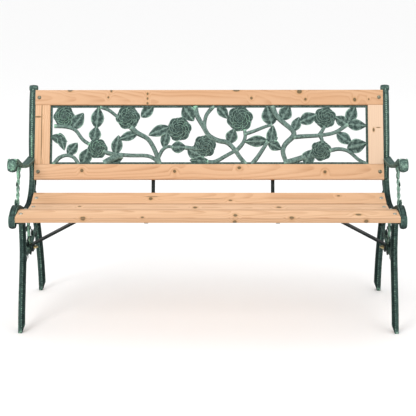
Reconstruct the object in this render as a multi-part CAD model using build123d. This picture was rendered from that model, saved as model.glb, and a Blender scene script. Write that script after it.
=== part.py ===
from build123d import *
import math
import os

# A two-seat garden bench: two cast-iron end frames carry five timber seat slats and
# a timber back frame around a cast rose panel. Millimetres, +Z up, the front of the
# bench faces -Y, and the origin is on the ground under the middle of the bench.

# Overall size
WIDTH = 1220
DEPTH = 510
HEIGHT = 730
FRONT = -DEPTH / 2
REAR = DEPTH / 2

# Where the end frame's layers lie across the bench, measured out from the middle
ARM_OUTER = WIDTH / 2
ARM_INNER = ARM_OUTER - 27
FRAME_OUTER = ARM_OUTER - 5
LEG_INNER = FRAME_OUTER - 21.5
REAR_LEG_INNER = LEG_INNER - 2.5
BAND_INNER = FRAME_OUTER - 20
VINE_OUTER = FRAME_OUTER - 4
VINE_INNER = VINE_OUTER - 14
PAD_INNER = FRAME_OUTER - 48
PAD_OUTER = BAND_INNER + 6

# Timber
TIMBER_END = BAND_INNER - 1.5
SLAT_WIDTH = 67
SLAT_PITCH = 75
SLAT_THICK = 18
SLAT_EDGE = 5
RAIL_HEIGHT = 52
RAIL_THICK = 20
STILE_WIDTH = 50
TIMBER_EDGE = 3

# The dished seat: how each slat rises to the rear, in degrees, front slat first. The slats'
# undersides meet end to end along one chain, which starts half a gap before the front slat.
SLAT_RISES = [6, -16.5, -15.5, 1.5, 20.5]
SEAT_START_Y = FRONT - 2
SEAT_START_Z = 382.5
BRACE_SLAT = 3
BRACE_SETBACK = 18

# The reclined back: the front face of the lower rail, at mid height
BACK_Y = 117
BACK_Z = 458
RECLINE = 21
PANEL_HEIGHT = 200
PANEL_WIDTH = 1066
PANEL_BORDER = 6.5
PANEL_THICK = 8
PANEL_TONGUE = 5
GROOVE_DEPTH = 6
GROOVE_WIDTH = 8.4
UPPER_RAIL = RAIL_HEIGHT + PANEL_HEIGHT

# Castings
LEG_FACE = 9
LEG_RECESS = 9
PAD_THICK = 6
PAD_LENGTH = 54
LOWER_BOSS = 16
UPPER_BOSS = 9
BOSS_HEIGHT = 40
SCROLL_RADIUS = 24
KNOB_RADIUS = 21.5
CAP_RADIUS = 11
FOOT_TAPER = 30
FOOT_NARROWING = 9
BELOW_GROUND = 100
BRACE_BOSS = 18
BRACE_NODE_RADIUS = 12
CHEEK_DEPTH = 22

# Flat steel bars
BAR_THICK = 4
STRAP_WIDTH = 12
STRAP_PLACES = [-186, 214]
STRAP_TAIL = 24
STRAP_HEAD = 16
STRAP_BEND = 6
BRACE_WIDTH = 30
BRACE_THICK = 6
BRACE_TOP = 361
BRACE_DROP = 143
BRACE_TAB = 12
BRACE_TURN = 10
BRACE_BEND = 6

# Fasteners
BOLT_RADIUS = 3
HOLE_RADIUS = 3.3
HEAD_RADIUS = 6.5
HEAD_HEIGHT = 3.5
WASHER_RADIUS = 6
WASHER_THICK = 1.2
NUT_ACROSS = 10
NUT_THICK = 5
NUT_PLAY = 0.05
BOLT_SPARE = 3
BRACE_BOLT_SPARE = 6
BOLT_INSET = 13
SCREW_RADIUS = 1.9
SCREW_HOLE = 1.95
SCREW_HEAD = 3.8
SCREW_HEAD_THICK = 2
SCREW_DEPTH = 12
SCREW_REACH = SCREW_DEPTH + 0.5

SIDE_PLANE = Plane.YZ
BACK_PLANE = Plane(
    origin=(0, BACK_Y, BACK_Z),
    x_dir=(1, 0, 0),
    z_dir=(0, -math.cos(math.radians(RECLINE)), math.sin(math.radians(RECLINE))),
)


def slat_planes():
    """The plane of each slat's top face, with its Z out of the face."""
    planes = []
    y, z = SEAT_START_Y, SEAT_START_Z
    for rise in SLAT_RISES:
        tilt = math.radians(rise)
        along = (math.cos(tilt), math.sin(tilt))
        middle_y = y + along[0] * SLAT_PITCH / 2 - along[1] * SLAT_THICK
        middle_z = z + along[1] * SLAT_PITCH / 2 + along[0] * SLAT_THICK
        normal = (0, -along[1], along[0])
        planes.append(Plane(origin=(0, middle_y, middle_z), x_dir=(1, 0, 0), z_dir=normal))
        y += along[0] * SLAT_PITCH
        z += along[1] * SLAT_PITCH
    return planes


SLAT_PLANES = slat_planes()
BRACE_PLANE = SLAT_PLANES[BRACE_SLAT] * Pos(0, BRACE_SETBACK, 0)
BRACE_NODE = (BRACE_PLANE * Pos(0, 0, -BRACE_DROP)).position


# ---------------------------------------------------------------- cast strips

def strip_face(points, widths):
    """A flat strip of changing width along a smooth centre line."""
    count = len(points)
    left = []
    right = []
    for index in range(count):
        before = points[max(index - 1, 0)]
        after = points[min(index + 1, count - 1)]
        run = (after[0] - before[0], after[1] - before[1])
        length = math.hypot(*run)
        half = widths[index] / 2
        across = (-run[1] / length * half, run[0] / length * half)
        here = points[index]
        left.append((here[0] + across[0], here[1] + across[1]))
        right.append((here[0] - across[0], here[1] - across[1]))
    right.reverse()
    outline = Curve() + [
        Spline(*left),
        Line(left[-1], right[0]),
        Spline(*right),
        Line(right[-1], left[0]),
    ]
    return make_face(outline)


def side_strip(points, widths, inner, outer):
    """A member of the right end frame, drawn from the side and given its thickness in X."""
    return extrude(SIDE_PLANE.offset(inner) * strip_face(points, widths), outer - inner)


def leg(points, widths, inner):
    """A leg of L section: a broad front face, and a narrower web behind it on the outer side."""
    hollow = [(y + LEG_FACE, z) for y, z in points]
    recess = side_strip(hollow, widths, inner - 1, inner + LEG_RECESS)
    return side_strip(points, widths, inner, FRAME_OUTER) - recess


def side_roll(y, z, radius, inner, outer):
    """A round roll of the right end frame, its axis across the bench."""
    return extrude(SIDE_PLANE.offset(inner) * Pos(y, z) * Circle(radius), outer - inner)


# ---------------------------------------------------------------- end frames

def seat_pads():
    """The ledges under the slat ends, each flat against its slat and bored for its bolt."""
    middle = (PAD_INNER + PAD_OUTER) / 2
    pads = []
    for plane in SLAT_PLANES:
        pad = Box(PAD_OUTER - PAD_INNER, PAD_LENGTH, PAD_THICK)
        pads.append(plane * Pos(middle, 0, -SLAT_THICK - PAD_THICK / 2) * pad)
        cheek = Box(PAD_OUTER - BAND_INNER, PAD_LENGTH, CHEEK_DEPTH)
        cheek_x = (PAD_OUTER + BAND_INNER) / 2
        pads.append(plane * Pos(cheek_x, 0, CHEEK_DEPTH / 2 - SLAT_THICK - PAD_THICK) * cheek)
    return pads


def rail_bosses():
    """The bosses behind the ends of the two back rails."""
    middle = (PAD_INNER + PAD_OUTER) / 2
    bosses = []
    for height, thick in ((0, LOWER_BOSS), (UPPER_RAIL, UPPER_BOSS)):
        boss = Box(PAD_OUTER - PAD_INNER, BOSS_HEIGHT, thick)
        bosses.append(BACK_PLANE * Pos(middle, height, -RAIL_THICK - thick / 2) * boss)
    return bosses


def bolt_bores():
    """The bores of one end frame for its slat bolts, rail bolts and brace bolt."""
    place = TIMBER_END - BOLT_INSET
    bores = []
    for plane in SLAT_PLANES:
        bores.append(plane * Pos(place, 0, -SLAT_THICK) * Cylinder(HOLE_RADIUS, 4 * PAD_THICK))
    for height in (0, UPPER_RAIL):
        bore = Cylinder(HOLE_RADIUS, 4 * LOWER_BOSS)
        bores.append(BACK_PLANE * Pos(place, height, -RAIL_THICK) * bore)
    bores.append(brace_axis(LEG_INNER) * Cylinder(HOLE_RADIUS, 4 * BRACE_BOSS))
    return bores


def brace_axis(x):
    """The place of the brace bolt at a given X, with its Z out along +X."""
    return Plane(origin=(x, BRACE_NODE.Y, BRACE_NODE.Z), x_dir=(0, 1, 0), z_dir=(1, 0, 0))


def end_frame():
    """The right end frame: one casting."""
    upright = side_strip(
        [(242, 716), (223, 683), (198, 616), (172, 545), (162, 490), (158, 440), (143, 408)],
        [18, 26, 27, 26, 25, 26, 30], BAND_INNER, FRAME_OUTER)
    seat_rim = side_strip(
        [(152, 424), (122, 388), (84, 363), (44, 353), (-18, 355), (-94, 380), (-165, 405),
         (-210, 404), (-238, 392)],
        [26, 25, 24, 24, 24, 24, 25, 20, 12], BAND_INNER, FRAME_OUTER)
    front_leg = leg(
        [(-72, 348), (-73, 300), (-82, 233), (-115, 150), (-152, 65), (-175, -5)],
        [32, 29, 27, 27, 25, 22], LEG_INNER)
    rear_leg = leg(
        [(132, 392), (158, 330), (191, 258), (221, 170), (236, 90), (240, -5)],
        [28, 28, 27, 26, 23, 20], REAR_LEG_INNER)
    armrest = side_strip(
        [(166, 494), (90, 496), (13, 501), (-60, 517), (-115, 539), (-155, 556), (-184, 561)],
        [12, 10, 10, 11, 12, 12, 11], ARM_INNER, ARM_OUTER)
    arm_stem = side_strip(
        [(-86, 532), (-98, 504), (-122, 464), (-138, 425), (-142, 398)],
        [15, 13, 13, 14, 17], VINE_INNER, VINE_OUTER)
    vine_drop = side_strip(
        [(40, 350), (26, 310), (32, 268), (BRACE_NODE.Y, BRACE_NODE.Z - 2)],
        [16, 11, 11, 20], VINE_INNER, VINE_OUTER)
    vine_front = side_strip(
        [(BRACE_NODE.Y + 4, BRACE_NODE.Z), (-16, 214), (-50, 222), (-86, 214)],
        [20, 11, 11, 15], VINE_INNER, VINE_OUTER)
    vine_rear = side_strip(
        [(BRACE_NODE.Y - 4, BRACE_NODE.Z), (62, 224), (115, 244), (158, 250), (193, 250)],
        [20, 12, 11, 11, 15], VINE_INNER, VINE_OUTER)
    casting = upright + seat_rim + front_leg + rear_leg + armrest + arm_stem
    casting += vine_drop + vine_front + vine_rear
    casting += side_roll(FRONT + SCROLL_RADIUS, 381, SCROLL_RADIUS, BAND_INNER, FRAME_OUTER)
    casting += side_roll(-182, 546, KNOB_RADIUS, ARM_INNER, ARM_OUTER)
    casting += side_roll(REAR - CAP_RADIUS, HEIGHT - CAP_RADIUS, CAP_RADIUS, ARM_INNER - 3, ARM_OUTER - 2)
    casting += brace_axis(LEG_INNER) * Pos(0, 0, BRACE_BOSS / 2) * Cylinder(BRACE_NODE_RADIUS, BRACE_BOSS)
    casting += seat_pads()
    casting += rail_bosses()
    casting -= bolt_bores()
    casting -= foot_cut()
    return casting


def foot_cut():
    """What the feet lose: all below the ground, and a slope up their inner side."""
    below = Pos(FRAME_OUTER, 0, -BELOW_GROUND / 2) * Box(BELOW_GROUND, 2 * DEPTH, BELOW_GROUND)
    slope = make_face(Polyline(
        (LEG_INNER - FOOT_NARROWING, 0),
        (LEG_INNER + FOOT_NARROWING, 0),
        (REAR_LEG_INNER, FOOT_TAPER),
        (LEG_INNER - FOOT_NARROWING, FOOT_TAPER),
        close=True))
    return [below, extrude(Plane.XZ * slope, DEPTH, both=True)]


# ---------------------------------------------------------------- timber

def board(length, height, thick, rounding):
    """A board with its long edges rounded, its length along X."""
    blank = Box(length, height, thick)
    return fillet(blank.edges().filter_by(Axis.X), rounding)


def seat_slat(index):
    """One seat slat, bored at its ends for bolts and below for the strap and brace screws."""
    piece = Pos(0, 0, -SLAT_THICK / 2) * board(2 * TIMBER_END, SLAT_WIDTH, SLAT_THICK, SLAT_EDGE)
    for side in (-1, 1):
        piece -= Pos(side * (TIMBER_END - BOLT_INSET), 0, 0) * Cylinder(HOLE_RADIUS, 4 * SLAT_THICK)
    screws = [(x, 0) for x in STRAP_PLACES]
    if index == BRACE_SLAT:
        screws += [(side * BRACE_TOP, BRACE_SETBACK) for side in (-1, 1)]
    for x, y in screws:
        piece -= Pos(x, y, -SLAT_THICK) * Cylinder(SCREW_HOLE, 2 * SCREW_REACH)
    return SLAT_PLANES[index] * piece


def groove(length, edge_y, direction):
    """The groove along a back-frame board's inner edge that takes the rose panel."""
    return Pos(0, edge_y - direction * GROOVE_DEPTH / 2, 0) * Box(length, GROOVE_DEPTH, GROOVE_WIDTH)


def back_rail(height, inner_side):
    """A back rail with its groove facing the panel, bored for its two bolts."""
    rail = board(2 * TIMBER_END, RAIL_HEIGHT, RAIL_THICK, TIMBER_EDGE)
    rail -= groove(3 * TIMBER_END, inner_side * RAIL_HEIGHT / 2, inner_side)
    for place in (TIMBER_END - BOLT_INSET, BOLT_INSET - TIMBER_END):
        rail -= Pos(place, 0, 0) * Cylinder(HOLE_RADIUS, 2 * RAIL_THICK)
    if inner_side > 0:
        for place in STRAP_PLACES:
            rail -= Pos(place, 0, -RAIL_THICK / 2) * Cylinder(SCREW_HOLE, 2 * SCREW_REACH)
    return BACK_PLANE * Pos(0, height, -RAIL_THICK / 2) * rail


def back_stile(side):
    """A short upright between the rails, with stub tenons in their grooves."""
    stile = fillet(Box(STILE_WIDTH, PANEL_HEIGHT, RAIL_THICK).edges().filter_by(Axis.Y), 1)
    tenon = Box(STILE_WIDTH, PANEL_HEIGHT + 2 * GROOVE_DEPTH - 1, GROOVE_WIDTH - 0.4)
    stile += tenon
    slot = Box(GROOVE_DEPTH, 2 * PANEL_HEIGHT, GROOVE_WIDTH)
    stile -= Pos(-side * (STILE_WIDTH - GROOVE_DEPTH) / 2, 0, 0) * slot
    middle = side * (PANEL_WIDTH + STILE_WIDTH) / 2
    return BACK_PLANE * Pos(middle, UPPER_RAIL / 2, -RAIL_THICK / 2) * stile


# ---------------------------------------------------------------- rose panel
# The panel is drawn flat: X from its middle, Y up from the bottom of its opening.

ROSES = [
    (-487, 162, 33), (-373, 53, 31), (-272, 159, 37), (-100, 120, 38),
    (-14, 62, 35), (104, 154, 40), (390, 158, 34), (376, 46, 32),
]

# Leaves: foot, tip and width
LEAVES = [
    ((-462, 118), (-421, 176), 34), ((-378, 122), (-371, 196), 34), ((-386, 76), (-378, 130), 34),
    ((-530, 96), (-474, 76), 26), ((-502, 108), (-484, 46), 24), ((-474, 32), (-440, 74), 30),
    ((-424, -2), (-402, 56), 34), ((-286, 30), (-350, 2), 28), ((-314, 32), (-302, 100), 30),
    ((-238, 106), (-304, 84), 26), ((-228, 160), (-184, 200), 30), ((-132, 128), (-204, 98), 32),
    ((-152, 56), (-138, 118), 26), ((-128, 58), (-74, 58), 32), ((-86, 198), (-50, 146), 38),
    ((30, 200), (64, 154), 28), ((68, 70), (86, 122), 32), ((-72, 52), (-18, 26), 36),
    ((2, 10), (-66, 14), 24), ((212, 132), (194, 200), 44), ((198, 80), (118, 76), 30),
    ((206, 66), (216, 134), 28), ((198, 76), (244, 50), 28), ((206, 76), (232, 92), 16),
    ((244, 150), (272, 200), 36), ((284, 112), (304, 162), 26), ((304, 142), (364, 170), 34),
    ((322, 0), (344, 50), 36), ((466, 134), (422, 162), 28), ((466, 140), (492, 200), 32),
    ((462, 136), (530, 130), 30), ((428, 106), (480, 68), 32), ((462, 54), (530, 72), 38),
]

# Branches: the points that they pass through and their width
BRANCHES = [
    ([(-520, 0), (-502, 22), (-477, 31), (-452, 23), (-436, 0)], 11),
    ([(-520, 130), (-480, 128), (-448, 116), (-424, 84), (-400, 68)], 11),
    ([(-354, 46), (-330, 36), (-262, 30), (-200, 28), (-164, 4)], 12),
    ([(-350, 2), (-322, 18), (-290, 30)], 20),
    ([(-366, 196), (-336, 184), (-304, 158)], 10),
    ([(-262, 126), (-240, 106), (-204, 86), (-180, 46), (-164, 0)], 14),
    ([(-170, 20), (-156, 48), (-138, 60), (-120, 58)], 10),
    ([(-80, 57), (-58, 54), (-40, 52)], 12),
    ([(-46, 198), (-40, 166), (-18, 128), (0, 98), (32, 80), (62, 74), (88, 48), (104, 24), (124, 0)], 14),
    ([(16, 198), (-8, 168), (-14, 138), (-12, 118)], 11),
    ([(-6, 8), (20, 8), (56, 28), (92, 48)], 12),
    ([(92, 46), (112, 68), (122, 92), (120, 118)], 11),
    ([(120, 102), (150, 112), (190, 128), (212, 134)], 10),
    ([(144, 0), (166, 28), (198, 78)], 12),
    ([(214, 198), (224, 168), (252, 140), (280, 116), (284, 96), (256, 68), (248, 40), (262, 0)], 15),
    ([(284, 92), (320, 95), (372, 98), (424, 108), (466, 136)], 12),
    ([(370, 98), (378, 110), (388, 128)], 11),
    ([(372, 98), (379, 84), (380, 72)], 10),
    ([(252, 2), (284, 12), (324, 26)], 18),
    ([(404, 46), (434, 52), (468, 44), (500, 16), (530, 0)], 11),
]


def leaf_face(foot, tip, width):
    """A pointed leaf between two arcs."""
    middle = ((foot[0] + tip[0]) / 2, (foot[1] + tip[1]) / 2)
    run = (tip[0] - foot[0], tip[1] - foot[1])
    length = math.hypot(*run)
    across = (-run[1] / length * width / 2, run[0] / length * width / 2)
    left = (middle[0] + across[0], middle[1] + across[1])
    right = (middle[0] - across[0], middle[1] - across[1])
    return make_face(Curve() + [ThreePointArc(foot, left, tip), ThreePointArc(tip, right, foot)])


def rose_panel():
    """The openwork casting: a border, branches, leaves and roses."""
    inside = Rectangle(PANEL_WIDTH - 2 * PANEL_BORDER, PANEL_HEIGHT - 2 * PANEL_BORDER)
    outside = Rectangle(PANEL_WIDTH + 2 * PANEL_TONGUE, PANEL_HEIGHT + 2 * PANEL_TONGUE)
    border = Pos(0, PANEL_HEIGHT / 2) * (outside - inside)
    limit = Pos(0, PANEL_HEIGHT / 2) * Rectangle(PANEL_WIDTH, PANEL_HEIGHT)
    tracery = [strip_face(points, [width] * len(points)) for points, width in BRANCHES]
    tracery += [leaf_face(*leaf) for leaf in LEAVES]
    growth = (Sketch() + tracery) & limit
    flowers = [Pos(x, y) * Circle(radius) for x, y, radius in ROSES]
    plate = extrude(border + growth, PANEL_THICK / 2, both=True)
    plate += [extrude(flower, 3 * PANEL_THICK / 4, both=True) for flower in flowers]
    return BACK_PLANE * Pos(0, RAIL_HEIGHT / 2, -RAIL_THICK / 2) * plate


# ---------------------------------------------------------------- steel bars

def crossing(first, second):
    """Where two lines in the Y-Z plane meet, each given as a point and a direction."""
    (ay, az), (dy, dz) = first
    (by, bz), (ey, ez) = second
    along = ((by - ay) * ez - (bz - az) * ey) / (dy * ez - dz * ey)
    return (ay + along * dy, az + along * dz)


def strap_route():
    """The strap's middle line in the Y-Z plane: under each slat, then up behind the lower rail."""
    lines = []
    for plane in SLAT_PLANES:
        under = plane.origin - plane.z_dir * (SLAT_THICK + BAR_THICK / 2)
        lines.append(((under.Y, under.Z), (plane.y_dir.Y, plane.y_dir.Z)))
    behind = BACK_PLANE.origin - BACK_PLANE.z_dir * (RAIL_THICK + BAR_THICK / 2)
    lines.append(((behind.Y, behind.Z), (BACK_PLANE.y_dir.Y, BACK_PLANE.y_dir.Z)))
    (y, z), (dy, dz) = lines[0]
    route = [(y - STRAP_TAIL * dy, z - STRAP_TAIL * dz)]
    route += [crossing(first, second) for first, second in zip(lines, lines[1:])]
    (y, z), (dy, dz) = lines[-1]
    route.append((y + STRAP_HEAD * dy, z + STRAP_HEAD * dz))
    return route


def support_strap(x):
    """A flat bar that ties the slats together and props the lower back rail."""
    line = FilletPolyline(*strap_route(), radius=STRAP_BEND)
    side = extrude(trace(line, BAR_THICK), STRAP_WIDTH / 2, both=True)
    bar = Pos(x, 0, 0) * (SIDE_PLANE * side)
    for screw in strap_screw_places(x):
        bar -= screw * Cylinder(SCREW_HOLE, 4 * BAR_THICK)
    return bar


def strap_screw_places(x):
    """The planes of one strap's screws, at the timber's face with Z into the timber."""
    places = [plane * Pos(x, 0, -SLAT_THICK) for plane in SLAT_PLANES]
    places.append(BACK_PLANE * Pos(x, 0, -RAIL_THICK))
    return places


def brace():
    """The right diagonal brace: a flat bar from the end frame's vine up to a slat."""
    ceiling = -SLAT_THICK - BRACE_THICK / 2
    wall = LEG_INNER - BRACE_THICK / 2
    route = [
        (wall, -BRACE_DROP - BRACE_TAB),
        (wall, -BRACE_DROP + BRACE_TURN),
        (BRACE_TOP + BRACE_TAB, ceiling),
        (BRACE_TOP - BRACE_TAB, ceiling),
    ]
    line = FilletPolyline(*route, radius=BRACE_BEND)
    bar = extrude(Plane.XZ * trace(line, BRACE_THICK), BRACE_WIDTH / 2, both=True)
    bar -= Pos(BRACE_TOP, 0, ceiling) * Cylinder(SCREW_HOLE, 4 * BRACE_THICK)
    return BRACE_PLANE * bar - brace_axis(wall) * Cylinder(HOLE_RADIUS, 4 * BRACE_THICK)


# ---------------------------------------------------------------- fasteners
# Each is drawn with its Z along its axis, pointing out of the face that it bears on.

def dome_bolt(grip, spare=BOLT_SPARE):
    """A bolt with a domed head on Z = 0 and its shank reaching past what it grips."""
    crown = (HEAD_RADIUS ** 2 + HEAD_HEIGHT ** 2) / (2 * HEAD_HEIGHT)
    ball = Pos(0, 0, HEAD_HEIGHT - crown) * Sphere(crown)
    head = ball & Pos(0, 0, HEAD_HEIGHT) * Box(4 * crown, 4 * crown, 2 * HEAD_HEIGHT)
    reach = grip + WASHER_THICK + NUT_THICK + spare
    return head + Pos(0, 0, -reach / 2) * Cylinder(BOLT_RADIUS, reach)


def washer():
    """A flat washer under Z = 0."""
    ring = Cylinder(WASHER_RADIUS, WASHER_THICK) - Cylinder(HOLE_RADIUS, 2 * WASHER_THICK)
    return Pos(0, 0, -WASHER_THICK / 2) * ring


def nut():
    """A hexagon nut under Z = 0."""
    body = extrude(RegularPolygon(NUT_ACROSS / 2, 6, major_radius=False), -NUT_THICK)
    return body - Cylinder(BOLT_RADIUS + NUT_PLAY, 3 * NUT_THICK)


def wood_screw(bar):
    """A screw through a flat bar under Z = 0, its head below the bar and its point in the timber."""
    length = bar + SCREW_DEPTH
    shank = Pos(0, 0, length / 2 - bar) * Cylinder(SCREW_RADIUS, length)
    head = Pos(0, 0, -bar - SCREW_HEAD_THICK / 2) * Cylinder(SCREW_HEAD, SCREW_HEAD_THICK)
    return shank + head


def slat_bolt_places():
    """The planes of the ten slat bolts, on the slat tops."""
    return [plane * Pos(side * (TIMBER_END - BOLT_INSET), 0, 0)
            for plane in SLAT_PLANES for side in (-1, 1)]


def rail_bolt_places(height):
    """The planes of one rail's bolts, on its front."""
    return [BACK_PLANE * Pos(side * (TIMBER_END - BOLT_INSET), height, 0) for side in (-1, 1)]


def bolted(places, grip):
    """The bolts, washers and nuts at some places, each a list of solids."""
    bolts = [place * dome_bolt(grip) for place in places]
    washers = [place * Pos(0, 0, -grip) * washer() for place in places]
    nuts = [place * Pos(0, 0, -grip - WASHER_THICK) * nut() for place in places]
    return bolts, washers, nuts


def brace_bolt():
    """The bolt of the right brace: head outside the vine, shank in along -X."""
    return brace_axis(LEG_INNER + BRACE_BOSS) * dome_bolt(BRACE_BOSS + BRACE_THICK, BRACE_BOLT_SPARE)


def both_sides(piece):
    """A piece of the right end and its mirror image at the left end."""
    return [piece, mirror(piece, about=Plane.YZ)]


# ---------------------------------------------------------------- the bench

nodes = {}
right_frame = end_frame()
nodes["right_end_frame"] = [right_frame]
nodes["left_end_frame"] = [mirror(right_frame, about=Plane.YZ)]

for index in range(len(SLAT_RISES)):
    nodes[f"seat_slat_{index + 1}"] = [seat_slat(index)]

nodes["back_lower_rail"] = [back_rail(0, 1)]
nodes["back_top_rail"] = [back_rail(UPPER_RAIL, -1)]
nodes["back_left_stile"] = [back_stile(-1)]
nodes["back_right_stile"] = [back_stile(1)]
nodes["rose_panel"] = [rose_panel()]

for name, place in zip(("left", "right"), STRAP_PLACES):
    nodes[f"{name}_support_strap"] = [support_strap(place)]

right_brace = brace()
nodes["right_brace"] = [right_brace]
nodes["left_brace"] = [mirror(right_brace, about=Plane.YZ)]

slat_set = bolted(slat_bolt_places(), SLAT_THICK + PAD_THICK)
lower_set = bolted(rail_bolt_places(0), RAIL_THICK + LOWER_BOSS)
upper_set = bolted(rail_bolt_places(UPPER_RAIL), RAIL_THICK + UPPER_BOSS)
for kind, slat_group, lower_group, upper_group in zip(
        ("bolts", "washers", "nuts"), slat_set, lower_set, upper_set):
    nodes[f"seat_slat_{kind}"] = slat_group
    nodes[f"back_rail_{kind}"] = lower_group + upper_group

inner_face = brace_axis(LEG_INNER - BRACE_THICK)
nodes["brace_bolts"] = both_sides(brace_bolt())
nodes["brace_washers"] = both_sides(inner_face * washer())
nodes["brace_nuts"] = both_sides(inner_face * Pos(0, 0, -WASHER_THICK) * nut())

screws = []
for x in STRAP_PLACES:
    screws += [place * wood_screw(BAR_THICK) for place in strap_screw_places(x)]
nodes["strap_screws"] = screws

brace_screw = BRACE_PLANE * Pos(BRACE_TOP, 0, -SLAT_THICK) * wood_screw(BRACE_THICK)
nodes["brace_screws"] = both_sides(brace_screw)

os.makedirs("parts", exist_ok=True)
for name, solids in nodes.items():
    export_step(Compound(children=solids) if len(solids) > 1 else solids[0], f"parts/{name}.step")
    print(name, len(solids))
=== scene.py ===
# %% [markdown]
# # A garden bench with cast end frames and a rose panel
# The bench is three crafts in one: planed pine boards, cast iron with a worn green finish, and
# flat steel bars. The exact bodies of the boards, bars and bolts come from the CAD frame and only
# need a finish. The castings are ornament, which CAD draws as plain bodies, so they are modelled
# here: each one is built in place, in metres, in the frame that everything shares.

# %% Load the frame
import math
from contextlib import contextmanager

import bmesh
import bpy
from mathutils import Matrix, Vector


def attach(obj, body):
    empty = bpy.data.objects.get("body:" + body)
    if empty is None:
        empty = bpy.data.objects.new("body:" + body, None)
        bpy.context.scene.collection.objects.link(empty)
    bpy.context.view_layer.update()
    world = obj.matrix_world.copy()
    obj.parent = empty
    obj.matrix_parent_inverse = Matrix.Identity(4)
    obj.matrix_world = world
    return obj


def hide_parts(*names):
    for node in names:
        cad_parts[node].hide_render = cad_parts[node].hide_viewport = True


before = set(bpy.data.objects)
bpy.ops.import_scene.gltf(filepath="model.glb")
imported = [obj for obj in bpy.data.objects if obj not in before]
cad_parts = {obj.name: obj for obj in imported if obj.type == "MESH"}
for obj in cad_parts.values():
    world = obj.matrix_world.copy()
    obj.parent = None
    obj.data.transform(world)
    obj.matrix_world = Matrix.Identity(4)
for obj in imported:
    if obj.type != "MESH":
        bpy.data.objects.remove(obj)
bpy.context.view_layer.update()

MM = 0.001

# %% [markdown]
# ## Camera, floor and light
# The bench is seen from a few metres away, well above the seat, so that the seat shows as a
# shallow ramp. A long lens keeps the ends upright. The turn is built from three small rotations,
# in the order pan, tilt, roll, and a last quarter turn, because a camera looks along its own -Z.

# %% Camera
CAMERA_PLACE = (0.0445, -3.4468, 1.2839)
PAN, TILT, ROLL = 0.01327, -0.26085, 0.0031
LENS = 94.88
SENSOR = 36
aim = (Matrix.Rotation(PAN, 3, "Z") @ Matrix.Rotation(TILT, 3, "X")
       @ Matrix.Rotation(ROLL, 3, "Y") @ Matrix.Rotation(math.pi / 2, 3, "X"))
bpy.ops.object.camera_add(location=CAMERA_PLACE, rotation=aim.to_euler())
camera = bpy.context.object
camera.name = "camera"
camera.data.lens = LENS
camera.data.sensor_width = SENSOR
camera.data.clip_end = 100
bpy.context.scene.camera = camera
print("camera at", tuple(round(c, 3) for c in camera.location))

# %% [markdown]
# A white studio is a pale floor that runs past the edges of the view, a bright even sky, and
# large soft lamps. The lamps only need to say where the light comes from: a big one high at the
# front left gives the gentle shading, and a weaker one at the right opens the shadows.

# %% Floor and light
FLOOR_SIZE = 30
FLOOR_WHITE = (0.9, 0.9, 0.9, 1)
SKY_STRENGTH = 1.06
bpy.ops.mesh.primitive_plane_add(size=FLOOR_SIZE)
floor = bpy.context.object
floor.name = "studio_floor"
floor_paint = bpy.data.materials.new("studio_floor")
floor_paint.use_nodes = True
floor_surface = floor_paint.node_tree.nodes["Principled BSDF"]
floor_surface.inputs["Base Color"].default_value = FLOOR_WHITE
floor_surface.inputs["Roughness"].default_value = 0.9
floor.data.materials.append(floor_paint)

sky = bpy.data.worlds.new("studio_sky")
sky.use_nodes = True
sky.node_tree.nodes["Background"].inputs["Color"].default_value = (1, 1, 1, 1)
sky.node_tree.nodes["Background"].inputs["Strength"].default_value = SKY_STRENGTH
bpy.context.scene.world = sky
bpy.context.scene.view_settings.view_transform = "Standard"


def soft_lamp(name, place, size, power):
    """A square lamp that faces the middle of the bench."""
    middle = Vector((0, 0, 0.4))
    turn = (middle - Vector(place)).to_track_quat("-Z", "Y").to_euler()
    bpy.ops.object.light_add(type="AREA", location=place, rotation=turn)
    lamp = bpy.context.object
    lamp.name = name
    lamp.data.size = size
    lamp.data.energy = power
    print(name, power, "W")


soft_lamp("key_lamp", (-1.8, -2.6, 3.0), 1.6, 50)
soft_lamp("fill_lamp", (2.4, -2.4, 1.6), 2.0, 10)
soft_lamp("top_lamp", (0.4, 0.6, 3.4), 2.0, 15)

# %% [markdown]
# ## A way to write finishes
# A finish is a net of shader nodes. Clicking it together is slow to read back, so two small
# classes write it as sums: `Field` wraps one socket, and adding, subtracting or multiplying it
# adds the Math node that does so. `Finish` holds one material, and its `node` method adds any
# other node: its settings first, then what goes into its sockets.

# %% The shader classes
class Field:
    """A socket that can be reckoned with."""

    def __init__(self, finish, socket):
        self.finish = finish
        self.socket = socket

    def __add__(self, other):
        return self.finish.maths("ADD", self, other)

    def __sub__(self, other):
        return self.finish.maths("SUBTRACT", self, other)

    def __mul__(self, other):
        return self.finish.maths("MULTIPLY", self, other)

    def __truediv__(self, other):
        return self.finish.maths("DIVIDE", self, other)


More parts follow.
